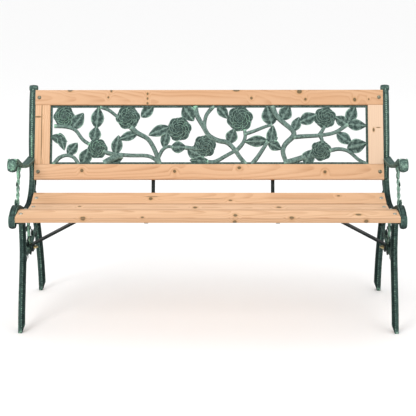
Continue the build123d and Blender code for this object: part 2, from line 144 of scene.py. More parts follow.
class Finish:
    """A material and the nodes that make it."""

    def __init__(self, name):
        self.material = bpy.data.materials.new(name)
        self.material.use_nodes = True
        self.tree = self.material.node_tree
        self.surface = self.tree.nodes["Principled BSDF"]

    def plug(self, socket, value):
        """Gives a socket a link or a constant."""
        if isinstance(value, Field):
            self.tree.links.new(value.socket, socket)
        else:
            socket.default_value = value

    def node(self, kind, settings=None, inputs=None, output=0):
        """Adds a node, with its settings first and then its inputs, and gives one output."""
        made = self.tree.nodes.new("ShaderNode" + kind)
        for name, value in (settings or {}).items():
            setattr(made, name, value)
        for name, value in (inputs or {}).items():
            self.plug(made.inputs[name], value)
        return Field(self, made.outputs[output])

    def maths(self, operation, *values):
        return self.node("Math", {"operation": operation}, dict(enumerate(values)))

    def place(self, origin=(0, 0, 0), turn=(0, 0, 0)):
        """Object coordinates, measured from an origin along turned axes."""
        where = self.node("TexCoord", output="Object")
        return self.node("Mapping", {"vector_type": "TEXTURE"}, {
            "Vector": where, "Location": origin, "Rotation": turn})

    def split(self, vector):
        """The three numbers of a vector."""
        made = self.node("SeparateXYZ", inputs={0: vector}).socket.node
        return [Field(self, made.outputs[index]) for index in range(3)]

    def bundle(self, x, y, z):
        return self.node("CombineXYZ", inputs={0: x, 1: y, 2: z})

    def noise(self, vector, scale, detail=3, roughness=0.5):
        """Cloudy noise from 0 to 1."""
        return self.node("TexNoise", inputs={
            "Vector": vector, "Scale": scale, "Detail": detail, "Roughness": roughness})

    def ease(self, value, low, high, start=0, end=1):
        """Runs smoothly from start to end while the value goes from low to high."""
        return self.node("MapRange", {"interpolation_type": "SMOOTHSTEP"}, {
            0: value, 1: low, 2: high, 3: start, 4: end})

    def mix(self, amount, first, second):
        """Mixes two colours."""
        first, second = [c if isinstance(c, Field) else (*c, 1) for c in (first, second)]
        return self.node("Mix", {"data_type": "RGBA"}, {0: amount, 6: first, 7: second}, output=2)

    def bump(self, height, depth):
        """Turns a height from 0 to 1 into a bumpy surface this many metres deep."""
        return self.node("Bump", inputs={"Height": height, "Strength": 1, "Distance": depth})

    def coat(self, **sockets):
        """Fills the sockets of the surface, their names in small letters with underscores."""
        for name, value in sockets.items():
            if isinstance(value, tuple):
                value = (*value, 1)
            self.plug(self.surface.inputs[name.replace("_", " ").title().replace("Ior", "IOR")], value)
        print("finish", self.material.name, len(self.tree.nodes), "nodes")


def dress(finish, *nodes):
    """Puts a finish on CAD nodes, in place of what they came with."""
    for name in nodes:
        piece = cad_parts[name]
        for index in range(max(1, len(piece.material_slots))):
            if not piece.material_slots:
                piece.data.materials.append(finish.material)
            piece.material_slots[index].material = finish.material


print("a finish is a material written as sums")

# %% [markdown]
# ## Pine boards
# A sawn board is a slice through a cone of growth rings. On the real seat the rings show as fine
# lines along each slat, which open into arches where the slice runs flat through a ring, and bend
# round the knots. So the finish reckons the distance of each point from the heart of the tree,
# a line that runs slightly askew under the board, and colours it by where it falls in its ring.
# Each board gets its own heart and its own knots, so no two boards look alike.

# %% Pine colours and sizes
RING = 5.5 * MM
PALE_WOOD = (0.70, 0.445, 0.265)
RED_WOOD = (0.60, 0.33, 0.165)
LATE_WOOD = (0.42, 0.20, 0.085)
BLEACHED_WOOD = (0.74, 0.58, 0.44)
KNOT_RIM = (0.105, 0.066, 0.020)
KNOT_CORE = (0.17, 0.11, 0.036)
KNOT_HALO = (0.48, 0.25, 0.09)
EDGE_SHADE = (0.26, 0.14, 0.07)
EDGE_REACH = 4 * MM
SLAT_HALF = 33.5 * MM
RAIL_HALF = 27.5 * MM


def pine(name, origin, tilt, heart, seed, knots, warmth, bleach, upright=False,
         half=SLAT_HALF, dusk=0):
    """A board's finish. Knots are place along, place across, length and height, in mm.

    The heart of the tree lies at heart, across and below the face, in mm. Warmth reddens the
    wood, bleach pales it and dusk darkens it, each from 0 to 1, and half is half its width.
    """
    wood = Finish(name)
    side, rise, depth = wood.split(wood.place(origin, (tilt, 0, 0)))
    along, across = (rise, side) if upright else (side, rise)
    face = across + depth
    drift = wood.noise(wood.bundle(along * 2, face * 9, seed), 1, detail=2)
    knot_bend = 0
    rim = core = halo = 0
    for place, height, long, tall in knots:
        ragged = (wood.noise(wood.bundle(along * 90, face * 160, seed), 1, detail=2) - 0.5) * 0.6
        run = (along - place * MM) / (long / 3 * MM)
        climb = (face - height * MM) / (tall / 2 * MM)
        far = wood.maths("SQRT", run * run + climb * climb) + ragged
        knot_bend = wood.ease(far, 0, 5, 1.5 * RING, 0) + knot_bend
        rim = wood.maths("MAXIMUM", wood.ease(far, 0.75, 1.35, 1, 0), rim)
        core = wood.maths("MAXIMUM", wood.ease(far, 0.35, 0.95, 1, 0), core)
        halo = wood.maths("MAXIMUM", wood.ease(far, 0.8, 2.4, 0.6, 0), halo)
    askew = along * 0.035 + (wood.noise(wood.bundle(along * 3, seed, 0), 1, detail=1) - 0.5) * 0.03
    off_side = across - heart[0] * MM + askew * 0.5
    off_deep = depth - heart[1] * MM + askew
    far_from_heart = wood.maths("SQRT", off_side * off_side + off_deep * off_deep) + knot_bend
    rings = far_from_heart / RING + drift * 1.5
    in_ring = wood.maths("FRACT", rings)
    late = wood.ease(in_ring, 0.35, 0.92) * wood.ease(in_ring, 0.93, 1.0, 1, 0)
    fibre = wood.noise(wood.bundle(along * 9, face * 420, depth * 420), 1, detail=3, roughness=0.6)
    streak = wood.noise(wood.bundle(along * 2.2, face * 75, seed), 1, detail=3)
    patch = wood.noise(wood.bundle(along * 1.6, face * 14, seed + 3), 1, detail=2)
    body = wood.mix(wood.ease(patch, 0.35, 0.7, 0, warmth), PALE_WOOD, RED_WOOD)
    body = wood.mix(late * wood.ease(streak, 0.3, 0.75, 0.14, 0.75), body, LATE_WOOD)
    body = wood.mix(wood.ease(fibre, 0.3, 0.75, 0, 0.36), body, RED_WOOD)
    body = wood.mix(bleach, body, BLEACHED_WOOD)
    body = wood.mix(dusk, body, LATE_WOOD)
    body = wood.mix(halo, body, KNOT_HALO)
    body = wood.mix(rim, body, KNOT_RIM)
    body = wood.mix(core * 0.8, body, KNOT_CORE)
    # Painted shade: a dark band along the top of each long edge of the slats and rails stands in for the
    # shade in the gaps between the boards.
    if not upright:
        near_top = wood.ease(depth, -EDGE_REACH, -1 * MM, 0.3, 1)
        painted_gap_shade = wood.ease(wood.maths("ABSOLUTE", across), half - EDGE_REACH, half, 0, 0.8) * near_top
        body = wood.mix(painted_gap_shade, body, EDGE_SHADE)
    height = late * 0.5 + fibre * 0.4
    wood.coat(base_color=body, roughness=wood.ease(streak, 0.3, 0.7, 0.50, 0.62),
              normal=wood.bump(height, 0.25 * MM))
    return wood


# %% [markdown]
# The boards lie on tilted planes, so each finish is measured from its own board's plane. The
# seat is a chain of five slats whose undersides meet edge to edge; the back leans 21 degrees.

# %% Where the boards lie
SLAT_RISES = [6, -16.5, -15.5, 1.5, 20.5]
SLAT_PITCH = 75 * MM
SLAT_THICK = 18 * MM
CHAIN_START = (-257 * MM, 382.5 * MM)
RECLINE = 21
BACK_ORIGIN = (0, 117 * MM, 458 * MM)
BACK_TURN = math.radians(90 - RECLINE)
RAIL_THICK = 20 * MM
UPPER_RAIL = 252 * MM


def slat_planes():
    """The middle of each slat's top face and its rise in radians."""
    y, z = CHAIN_START
    planes = []
    for rise in SLAT_RISES:
        tilt = math.radians(rise)
        run, climb = math.cos(tilt), math.sin(tilt)
        top = (y + run * SLAT_PITCH / 2 - climb * SLAT_THICK, z + climb * SLAT_PITCH / 2 + run * SLAT_THICK)
        planes.append((top, tilt))
        y += run * SLAT_PITCH
        z += climb * SLAT_PITCH
    return planes


SLATS = slat_planes()
print("slat tops", [tuple(round(c, 3) for c in top) for top, tilt in SLATS])

# %% Seat slats
SLAT_HEARTS = [(12, -62), (-30, -48), (25, -55), (-8, -44), (18, -70)]
SLAT_WARMTH = [0.55, 0.4, 0.3, 0.1, 0.4]
SLAT_BLEACH = [0, 0.1, 0.1, 0.15, 0]
SEED_STEP = 4.7
SLAT_KNOTS = [
    [(-377, -33, 22, 17), (-197, -28, 13, 11), (85, -12, 17, 20), (83, -46, 16, 9), (255, -30, 20, 16),
     (459, -6, 26, 14), (480, -44, 18, 10)],
    [(-140, 5, 16, 12), (310, -12, 15, 10)],
    [(-300, -6, 18, 12), (90, 14, 14, 9), (420, 4, 18, 12)],
    [(-43, -8, 18, 20), (229, -4, 22, 14), (-420, 4, 14, 10)],
    [(-191, -4, 18, 15), (-188, 7, 62, 3), (72, -14, 16, 8), (430, 12, 14, 7), (0, -6, 150, 2),
     (300, -6, 290, 1.6)],
]
for index, ((top, tilt), heart, knots) in enumerate(zip(SLATS, SLAT_HEARTS, SLAT_KNOTS)):
    name = f"seat_slat_{index + 1}"
    board = pine(f"pine_{name}", (0, *top), tilt, heart, SEED_STEP * index + 1, knots,
                 SLAT_WARMTH[index], SLAT_BLEACH[index])
    dress(board, name)

# %% Back rails and stiles
TOP_RAIL_KNOTS = [
    (-467, 25, 22, 11), (-328, 22, 10, 9), (-338, 0, 9, 7), (-206, 12, 9, 8), (-206, -4, 9, 8),
    (-206, -20, 9, 8), (93, 23, 30, 6), (143, -3, 12, 9), (304, 20, 24, 15), (324, -7, 12, 9),
    (489, -8, 15, 12), (536, -7, 7, 6)]
LEFT_STILE_KNOTS = [(60, -574, 7, 20), (10, -561, 330, 2.5)]
RIGHT_STILE_KNOTS = [(15, 551, 18, 6), (23, 567, 4, 12)]
LOWER_RAIL_KNOTS = [(-424, 4, 15, 11), (-114, 1, 14, 10), (102, 13, 18, 9), (387, -1, 14, 10)]


def up_the_back(up):
    """The (y, z) of a point of the back's face, this far up the slope from the lower rail."""
    return (BACK_ORIGIN[1] + up * math.cos(BACK_TURN), BACK_ORIGIN[2] + up * math.sin(BACK_TURN))


def back_board(name, up, heart, seed, knots, warmth, upright=False, bleach=0, dusk=0):
    """Dresses one board of the back, measured from its own middle up the slope."""
    board = pine(f"pine_{name}", (0, *up_the_back(up)), BACK_TURN, heart, seed, knots, warmth,
                 bleach, upright, RAIL_HALF, dusk)
    dress(board, name)


back_board("back_top_rail", UPPER_RAIL, (-14, -58), 31, TOP_RAIL_KNOTS, warmth=0.7, dusk=0.26)
back_board("back_lower_rail", 0, (20, -66), 37, LOWER_RAIL_KNOTS, warmth=0.35)
back_board("back_left_stile", UPPER_RAIL / 2, (-640, -22), 43, LEFT_STILE_KNOTS, warmth=0.7, upright=True)
back_board("back_right_stile", UPPER_RAIL / 2, (620, -30), 47, RIGHT_STILE_KNOTS, warmth=0,
           upright=True, bleach=0.55)

# %% [markdown]
# ## Modelling tools
# Every casting below is modelled the same way as by hand: add a primitive, go into edit mode,
# select, extrude, inset, and finish with modifiers. These helpers keep that short. Nothing may
# be left selected by accident, because an operator acts on everything that is selected.

# %% Small helpers
def only(piece):
    """Selects one piece and nothing else."""
    bpy.ops.object.select_all(action="DESELECT")
    piece.select_set(True)
    bpy.context.view_layer.objects.active = piece
    return piece


@contextmanager
def editing(piece):
    """Edit mode on one piece, all of it selected at the start."""
    only(piece)
    bpy.ops.object.mode_set(mode="EDIT")
    bpy.ops.mesh.select_all(action="SELECT")
    yield
    bpy.ops.object.mode_set(mode="OBJECT")


def settle(piece):
    """Moves the object's place, turn and size into its mesh."""
    only(piece)
    bpy.ops.object.transform_apply(location=True, rotation=True, scale=True)
    return piece


def copy_of(piece):
    only(piece)
    bpy.ops.object.duplicate(linked=False)
    return bpy.context.object


def joined(name, parts):
    """Joins parts into one piece."""
    only(parts[0])
    for part in parts:
        part.select_set(True)
    bpy.ops.object.join()
    piece = bpy.context.object
    piece.name = name
    return piece


def pick(piece, wanted, kind="FACE"):
    """In edit mode, selects the faces, or the vertices with kind VERT, that are wanted."""
    bpy.ops.mesh.select_mode(type=kind)
    bpy.ops.mesh.select_all(action="DESELECT")
    grid = bmesh.from_edit_mesh(piece.data)
    for part in grid.faces if kind == "FACE" else grid.verts:
        part.select_set(bool(wanted(part)))
    grid.select_flush_mode()
    bmesh.update_edit_mesh(piece.data)


def pick_points(piece, wanted):
    """In edit mode, selects the vertices for which wanted(co) is true."""
    pick(piece, lambda vertex: wanted(vertex.co), "VERT")


def modify(piece, kind, **settings):
    """Adds a modifier and applies it."""
    only(piece)
    bpy.ops.object.modifier_add(type=kind)
    modifier = piece.modifiers[-1]
    for name, value in settings.items():
        setattr(modifier, name, value)
    bpy.ops.object.modifier_apply(modifier=modifier.name)
    return piece


def soften(piece, width, segments=2):
    """Rounds the sharp edges, as a sand mould does."""
    modify(piece, "BEVEL", width=width, segments=segments, limit_method="ANGLE",
           angle_limit=math.radians(32))
    bpy.ops.object.shade_smooth_by_angle(angle=math.radians(40))
    return piece


def smooth_line(points, steps):
    """Points along a smooth line through the given ones, each a tuple of any length."""
    points = [Vector(point) for point in points]
    ends = [2 * points[0] - points[1], *points, 2 * points[-1] - points[-2]]
    line = []
    for a, b, c, d in zip(ends, ends[1:], ends[2:], ends[3:]):
        for step in range(steps):
            t = step / steps
            line.append((2 * b + (c - a) * t + (2 * a - 5 * b + 4 * c - d) * t ** 2
                         + (3 * b - a - 3 * c + d) * t ** 3) / 2)
    line.append(points[-1])
    return line


print("helpers ready")

# %% [markdown]
# Wear is worked out once per casting. The dirt tool looks at each vertex and its neighbours: a
# vertex that stands out gets a high value, one in a hollow a low value. That is where a worn
# green finish is rubbed pale and where it stays dark, so the finish reads it as an attribute.
# The extreme twelfths are cut off, so that the rest use the whole range.

# %% Wear map
def wear_map(piece, blur=1, least=0, most=1):
    """Stores how far each vertex stands out, from least in the hollows to most on the edges."""
    only(piece)
    bpy.ops.geometry.color_attribute_add(name="wear", domain="POINT", data_type="FLOAT_COLOR",
                                         color=(1, 1, 1, 1))
    bpy.ops.object.mode_set(mode="VERTEX_PAINT")
    bpy.ops.paint.vertex_color_dirt(blur_strength=1, blur_iterations=blur, dirt_only=False)
    bpy.ops.object.mode_set(mode="OBJECT")
    tones = piece.data.color_attributes["wear"].data
    ranked = sorted(tone.color[0] for tone in tones)
    low, high = ranked[len(ranked) // 12], ranked[-1 - len(ranked) // 12]
    for tone in tones:
        share = min(1, max(0, (tone.color[0] - low) / max(high - low, 0.001)))
        wear = least + (most - least) * share
        tone.color = (wear, wear, wear, 1)
    return piece


def hand_over(piece, node, finish):
    """Gives a piece its finish and lets it stand in for a CAD node."""
    piece.data.materials.clear()
    piece.data.materials.append(finish.material)
    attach(piece, "root")
    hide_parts(node)
    print(piece.name, sum(len(face.vertices) - 2 for face in piece.data.polygons), "triangles")


# %% [markdown]
# ## The worn green of the castings
# The castings are sprayed a dark green, and a pale green is rubbed over what stands proud, so
# the relief reads from far away. Thin parts have gone a brighter, mintier green in patches.
# Faces that look towards the front are also painted lighter and the walls beside them darker,
# painted light and shade, and the green is made lighter above the seat.

# %% Cast finishes
RUBBED_GREEN = (0.30, 0.46, 0.37)
MINT = (0.30, 0.60, 0.40)
# Faces that look along these directions are painted lighter, and faces turned away darker: painted light and
# shade.
PANEL_LIGHT_FACING = (0, -0.93, 0.36)
END_LIGHT_FACING = (0, -0.98, 0.20)
SEAT_LEVELS = (0.33, 0.46)


def green_iron_with_light(name, deep, dark, hollow, proud, patch_scale, facing, above_seat_lift):
    """Dark green iron, rubbed pale where the wear map says that it stands out.

    Faces that look out along the facing direction are painted lighter and the walls beside
    them darker, painted light and shade, and above the seat the green is made lighter, as
    above_seat_lift says.
    """
    iron = Finish(name)
    where = iron.place()
    wear = iron.node("Attribute", {"attribute_name": "wear"}, output="Fac")
    # Painted light and shade: how far each face looks along the facing direction makes it lighter or darker.
    outward = iron.node("VectorMath", {"operation": "DOT_PRODUCT"},
                        {0: iron.node("NewGeometry", output="Normal"), 1: facing}, output="Value")
    cloud = iron.noise(where, patch_scale, detail=3)
    grit = iron.noise(where, 230, detail=3, roughness=0.65)
    side, _, height = iron.split(where)
    # The green is made lighter above the seat, easing in between the two SEAT_LEVELS heights.
    above_seat_lightening = iron.ease(height, *SEAT_LEVELS, 0, above_seat_lift)
    rubbing_and_light = (wear + (cloud - 0.5) * 0.7 + (grit - 0.5) * 1.1
               + iron.ease(outward, 0.25, 0.95, -0.30, 0.12) + above_seat_lightening)
    body = iron.mix(iron.ease(rubbing_and_light, *hollow), deep, dark)
    body = iron.mix(iron.ease(rubbing_and_light, *proud), body, RUBBED_GREEN)
    minty = iron.ease(iron.noise(where, 11, detail=2) - side * 0.12, 0.48, 0.66)
    body = iron.mix(minty * iron.ease(rubbing_and_light, *proud) * 0.85, body, MINT)
    iron.coat(base_color=body, roughness=iron.ease(grit, 0.3, 0.7, 0.58, 0.74), specular_ior_level=0.08,
              normal=iron.bump(grit * 0.6 + cloud * 0.4, 0.8 * MM))
    return iron


casting = green_iron_with_light("cast_iron_green_and_light", (0.010, 0.020, 0.018), (0.050, 0.090, 0.079),
                     hollow=(0.0, 0.60), proud=(0.60, 1.20), patch_scale=110,
                     facing=END_LIGHT_FACING, above_seat_lift=0.48)
panel_casting = green_iron_with_light("panel_iron_green_and_light", (0.032, 0.058, 0.052), (0.185, 0.275, 0.242),
                           hollow=(0.0, 0.70), proud=(0.58, 1.15), patch_scale=120,
                           facing=PANEL_LIGHT_FACING, above_seat_lift=0)

# %% [markdown]
# ## The rose panel
# The panel is modelled lying flat, X to the right, Y up the slope and Z to the front, and stood
# in place at the end. It is a border, branches, leaves and roses. One leaf and one petal are
# modelled with care, and all the others are copies, stretched and turned, each with its own mesh.

# %% One leaf
LEAF_COLUMNS = 10
LEAF_ROWS = 6
LEAF_CUP = 0.10
VEIN_DEPTH = 0.055


def leaf_width(along):
    """How wide the leaf is from its foot at 0 to its tip at 1, as a share of its full width."""
    return max(0.05, math.sin(math.pi * along ** 0.85) ** 0.8)


def on_vein(co):
    """Whether a point lies on one of the slanting side veins."""
    slant = abs(co.y) / leaf_width(min(co.x, 0.95)) * 4
    return abs(co.y) > 0.02 and (co.x * LEAF_COLUMNS - slant) % 3 < 0.9


def model_leaf():
    """A leaf one unit long and one wide, its foot at the origin, with a midrib and sunk veins."""
    bpy.ops.mesh.primitive_grid_add(x_subdivisions=LEAF_COLUMNS, y_subdivisions=LEAF_ROWS, size=1,
                                    location=(0.5, 0, 0))
    leaf = settle(bpy.context.object)
    with editing(leaf):
        for column in range(LEAF_COLUMNS + 1):
            along = column / LEAF_COLUMNS
            pick_points(leaf, lambda co: abs(co.x - along) < 0.01)
            wide = leaf_width(along) * (1 if column % 2 else 0.92)
            bpy.ops.transform.resize(value=(1, wide, 1), center_override=(along, 0, 0))
            bpy.ops.transform.translate(value=(0, 0, LEAF_CUP * math.sin(math.pi * along)))
        pick_points(leaf, lambda co: abs(co.y) < 0.01)
        bpy.ops.transform.translate(value=(0, 0, 1.6 * VEIN_DEPTH))
        pick_points(leaf, on_vein)
        bpy.ops.transform.translate(value=(0, 0, -VEIN_DEPTH))
    modify(leaf, "SOLIDIFY", thickness=0.10, offset=-1)
    modify(leaf, "SUBSURF", levels=1, render_levels=1)
    bpy.ops.object.shade_smooth()
    leaf.name = "leaf_model"
    return wear_map(leaf, blur=0)


leaf_model = model_leaf()
print("leaf", len(leaf_model.data.polygons), "faces")


def leaf_copy(foot, tip, width, lift, lean, depth):
    """A copy of the leaf from foot to tip, in mm, with its middle raised by a share of its width."""
    run = Vector(tip) - Vector(foot)
    leaf = copy_of(leaf_model)
    leaf.scale = (run.length * MM, width * MM, width * depth * MM)
    leaf.rotation_euler = (Matrix.Rotation(run.angle_signed(Vector((1, 0))), 3, "Z")
                           @ Matrix.Rotation(lean, 3, "X")).to_euler()
    leaf.location = (foot[0] * MM, foot[1] * MM, lift * MM)
    return settle(leaf)


# %% [markdown]
# A rose seen from the front is rings of dished petals that overlap like tiles, with a tight bud
# in the middle. Each petal starts as a disc that is inset twice and pushed in, so that it has a
# lip all round; its edge is made ragged before it is given its thickness.

# %% One rose
PETAL_POINTS = 12


def model_petal(seed):
    """A dished petal one unit across, its foot at the origin and its edge ragged."""
    bpy.ops.mesh.primitive_circle_add(vertices=PETAL_POINTS, radius=0.5, fill_type="NGON")
    petal = settle(bpy.context.object)
    with editing(petal):
        bpy.ops.transform.vertex_random(offset=0.06, seed=seed)
        for thickness, depth in ((0.07, -0.05), (0.14, -0.07), (0.14, -0.02)):
            bpy.ops.mesh.inset(thickness=thickness, depth=depth)
    modify(petal, "SOLIDIFY", thickness=0.07, offset=-1)
    modify(petal, "SUBSURF", levels=1, render_levels=1)
    bpy.ops.object.shade_smooth()
    return wear_map(petal, blur=0, least=0.08)


# Rings of petals from the outside in: how many, how far out, how large, height and tilt
PETAL_RINGS = [(6, 0.60, 0.80, 0.00, 6), (6, 0.44, 0.66, 0.09, 12), (5, 0.30, 0.52, 0.17, 18),
               (4, 0.18, 0.38, 0.24, 24)]


def model_rose():
    """A rose one unit in radius, facing up, on a round base."""
    petals = []
    for ring, (count, out, across, height, tilt) in enumerate(PETAL_RINGS):
        for index in range(count):
            petal = model_petal(seed=ring * 10 + index)
            turn = 2 * math.pi * (index / count + 0.13 * ring)
            petal.scale = (across * 0.86, across, across)
            petal.rotation_euler = (Matrix.Rotation(turn, 3, "Z")
                                    @ Matrix.Rotation(math.radians(-tilt), 3, "Y")
                                    @ Matrix.Rotation(math.radians(13), 3, "X")).to_euler()
            petal.location = (out * math.cos(turn), out * math.sin(turn), height)
            petals.append(settle(petal))
    bpy.ops.mesh.primitive_cylinder_add(vertices=28, radius=0.86, depth=0.22, location=(0, 0, -0.09))
    petals.append(wear_map(settle(bpy.context.object), least=0.08))
    bpy.ops.mesh.primitive_uv_sphere_add(segments=14, ring_count=8, radius=0.09, location=(0, 0, 0.33))
    petals.append(wear_map(settle(bpy.context.object), least=0.08))
    return joined("rose_model", petals)


rose_model = model_rose()
print("rose", len(rose_model.data.polygons), "faces")

# %% [markdown]
# A branch is a path with a lobed outline drawn along it. The outline is turned a little from
# point to point, so its lobes wind round like the ridges of a rose stem. A curve does this well:
# each of its points has its own radius and its own twist, and it is made a mesh at the end.

# %% Branches
def stem_outline():
    """A round outline with four low lobes, one unit in radius."""
    bpy.ops.curve.primitive_nurbs_circle_add(radius=1.0)
    outline = bpy.context.object
    outline.name = "stem_outline"
    outline.data.resolution_u = 2
    for index, point in enumerate(outline.data.splines[0].points):
        if index % 2:
            point.co.x *= 0.80
            point.co.y *= 0.80
    return outline


stem_lobes = stem_outline()


def curve_along(places):
    """A smooth curve that runs close to the places, each X, Y and Z in metres."""
    bpy.ops.curve.primitive_nurbs_path_add()
    path = bpy.context.object
    path.location = (0, 0, 0)
    spline = path.data.splines[0]
    spline.points.add(max(0, len(places) - len(spline.points)))
    for point, place in zip(spline.points, places):
        point.co = (*place[:3], 1)
    spline.order_u = 3
    spline.use_endpoint_u = True
    return path


def stem(points, radii, twist):
    """A round stem through points in metres, with the radii in metres and a turn per point."""
    line = smooth_line([(*point, radius) for point, radius in zip(points, radii)], steps=3)
    path = curve_along(line)
    for index, (point, place) in enumerate(zip(path.data.splines[0].points, line)):
        point.radius = place[3]
        point.tilt = index * twist
    path.data.twist_mode = "MINIMUM"
    path.data.resolution_u = 2
    path.data.bevel_mode = "OBJECT"
    path.data.bevel_object = stem_lobes
    path.data.use_fill_caps = True
    only(path)
    bpy.ops.object.convert(target="MESH")
    made = bpy.context.object
    with editing(made):
        bpy.ops.mesh.remove_doubles(threshold=0.02 * MM)
        bpy.ops.mesh.normals_make_consistent(inside=False)
    bpy.ops.object.shade_smooth_by_angle(angle=math.radians(50))
    return made


# %% Where the panel's roses, leaves and branches are
PANEL_WIDTH = 1066
PANEL_HEIGHT = 200

# Roses: X from the middle, Y up from the bottom of the opening, and radius, in mm
ROSES = [
    (-487, 162, 33), (-373, 53, 31), (-272, 159, 37), (-100, 120, 38),
    (-14, 62, 35), (104, 154, 40), (390, 158, 34), (376, 46, 32),
]

# Leaves: foot, tip and width
LEAVES = [
    ((-462, 118), (-421, 176), 34), ((-378, 122), (-371, 196), 34), ((-386, 76), (-378, 130), 34),
    ((-530, 96), (-474, 76), 26), ((-502, 108), (-484, 46), 24), ((-474, 32), (-440, 74), 30),
    ((-424, -2), (-402, 56), 34), ((-286, 30), (-350, 2), 28), ((-314, 32), (-302, 100), 30),
    ((-238, 106), (-304, 84), 26), ((-228, 160), (-184, 200), 30), ((-132, 128), (-204, 98), 32),
    ((-152, 56), (-138, 118), 26), ((-128, 58), (-74, 58), 32), ((-86, 198), (-50, 146), 38),
    ((30, 200), (64, 154), 28), ((68, 70), (86, 122), 32), ((-72, 52), (-18, 26), 36),
    ((2, 10), (-66, 14), 24), ((212, 132), (194, 200), 44), ((198, 80), (118, 76), 30),
    ((206, 66), (216, 134), 28), ((198, 76), (244, 50), 28), ((206, 76), (232, 92), 16),
    ((244, 150), (272, 200), 36), ((284, 112), (304, 162), 26), ((304, 142), (364, 170), 34),
    ((322, 0), (344, 50), 36), ((466, 134), (422, 162), 28), ((466, 140), (492, 200), 32),
    ((462, 136), (530, 130), 30), ((428, 106), (480, 68), 32), ((462, 54), (530, 72), 38),
]

# Branches: the points that they pass through and their width
BRANCHES = [
    ([(-520, 0), (-502, 22), (-477, 31), (-452, 23), (-436, 0)], 11),
    ([(-520, 130), (-480, 128), (-448, 116), (-424, 84), (-400, 68)], 11),
    ([(-354, 46), (-330, 36), (-262, 30), (-200, 28), (-164, 4)], 12),
    ([(-350, 2), (-322, 18), (-290, 30)], 20),
    ([(-366, 196), (-336, 184), (-304, 158)], 10),
    ([(-262, 126), (-240, 106), (-204, 86), (-180, 46), (-164, 0)], 14),
    ([(-170, 20), (-156, 48), (-138, 60), (-120, 58)], 10),
    ([(-80, 57), (-58, 54), (-40, 52)], 12),
    ([(-46, 198), (-40, 166), (-18, 128), (0, 98), (32, 80), (62, 74), (88, 48), (104, 24), (124, 0)], 14),
    ([(16, 198), (-8, 168), (-14, 138), (-12, 118)], 11),
    ([(-6, 8), (20, 8), (56, 28), (92, 48)], 12),
    ([(92, 46), (112, 68), (122, 92), (120, 118)], 11),
    ([(120, 102), (150, 112), (190, 128), (212, 134)], 10),
    ([(144, 0), (166, 28), (198, 78)], 12),
    ([(214, 198), (224, 168), (252, 140), (280, 116), (284, 96), (256, 68), (248, 40), (262, 0)], 15),
    ([(284, 92), (320, 95), (372, 98), (424, 108), (466, 136)], 12),
    ([(370, 98), (378, 110), (388, 128)], 11),
    ([(372, 98), (379, 84), (380, 72)], 10),
    ([(252, 2), (284, 12), (324, 26)], 18),
    ([(404, 46), (434, 52), (468, 44), (500, 16), (530, 0)], 11),
]

# %% [markdown]
# The border is a plate with its middle taken out. Its front face is inset and sunk, which
# leaves the narrow raised lip that frames the tracery.

# %% The border
BORDER = 6.5
PANEL_THICK = 8


def model_border():
    """The flat frame round the tracery, its inner lip raised."""
    bpy.ops.mesh.primitive_plane_add(size=1, location=(0, PANEL_HEIGHT / 2 * MM, 0))
    border = bpy.context.object
    border.scale = ((PANEL_WIDTH - 1) * MM, (PANEL_HEIGHT - 1) * MM, 1)
    settle(border)
    with editing(border):
        bpy.ops.mesh.inset(thickness=BORDER * MM)
        bpy.ops.mesh.delete(type="FACE")
        bpy.ops.mesh.select_all(action="SELECT")
        bpy.ops.mesh.extrude_region_move(TRANSFORM_OT_translate={"value": (0, 0, PANEL_THICK * MM)})
        bpy.ops.mesh.select_all(action="SELECT")
        bpy.ops.transform.translate(value=(0, 0, -PANEL_THICK / 2 * MM))
        bpy.ops.mesh.normals_make_consistent(inside=False)
        pick(border, lambda face: face.normal.z > 0.9)
        bpy.ops.mesh.inset(thickness=1.6 * MM, depth=-1.2 * MM)
        bpy.ops.mesh.select_all(action="SELECT")
        bpy.ops.mesh.subdivide(number_cuts=5)
    return wear_map(soften(border, 0.7 * MM, segments=1))


# %% Put the panel together
LEAF_SWELL = 1.38
LEAF_DEPTH = 0.42
PANEL_RISE = 26 * MM
ROSE_SWELL = 1.18
ROSE_DEPTH = 0.62


def panel_leaf(index, foot, tip, width):
    """A leaf of the panel, leaning a little to one side or the other."""
    lean = 0.22 * math.sin(index * 2.4)
    lift = 0.5 + 0.8 * math.sin(index * 1.7)
    return leaf_copy(foot, tip, width * LEAF_SWELL, lift, lean, LEAF_DEPTH)


def panel_rose(index, x, y, radius):
    rose = copy_of(rose_model)
    size = radius * ROSE_SWELL * MM
    rose.scale = (size, size, size * ROSE_DEPTH)
    rose.rotation_euler = (0, 0, index * 1.1)
    rose.location = (x * MM, y * MM, 1.5 * MM)
    return settle(rose)


def panel_branch(points, width):
    """A branch of the panel, thicker at one end, flattened towards the plate."""
    count = len(points)
    radii = [width / 2 * MM * (1.30 - 0.18 * place / count) for place in range(count)]
    branch = stem([(x * MM, y * MM, 0) for x, y in points], radii, twist=0.12)
    branch.scale = (1, 1, 0.72)
    return wear_map(settle(branch), least=0.3)


parts = [model_border()]
parts += [panel_branch(*branch) for branch in BRANCHES]
parts += [panel_leaf(index, *leaf) for index, leaf in enumerate(LEAVES)]
parts += [panel_rose(index, *rose) for index, rose in enumerate(ROSES)]
print("panel parts", len(parts))


def trim(piece, point, normal):
    """Cuts off what reaches past a plane, if anything does, and closes the cut."""
    if any((vertex.co - Vector(point)).dot(Vector(normal)) > 0 for vertex in piece.data.vertices):
        with editing(piece):
            bpy.ops.mesh.bisect(plane_co=point, plane_no=normal, clear_outer=True, use_fill=True)


SIDE = (PANEL_WIDTH / 2 - 1) * MM
for piece in parts[1:]:
    trim(piece, (-SIDE, 0, 0), (-1, 0, 0))
    trim(piece, (SIDE, 0, 0), (1, 0, 0))
    trim(piece, (0, 1 * MM, 0), (0, -1, 0))
    trim(piece, (0, (PANEL_HEIGHT - 1) * MM, 0), (0, 1, 0))

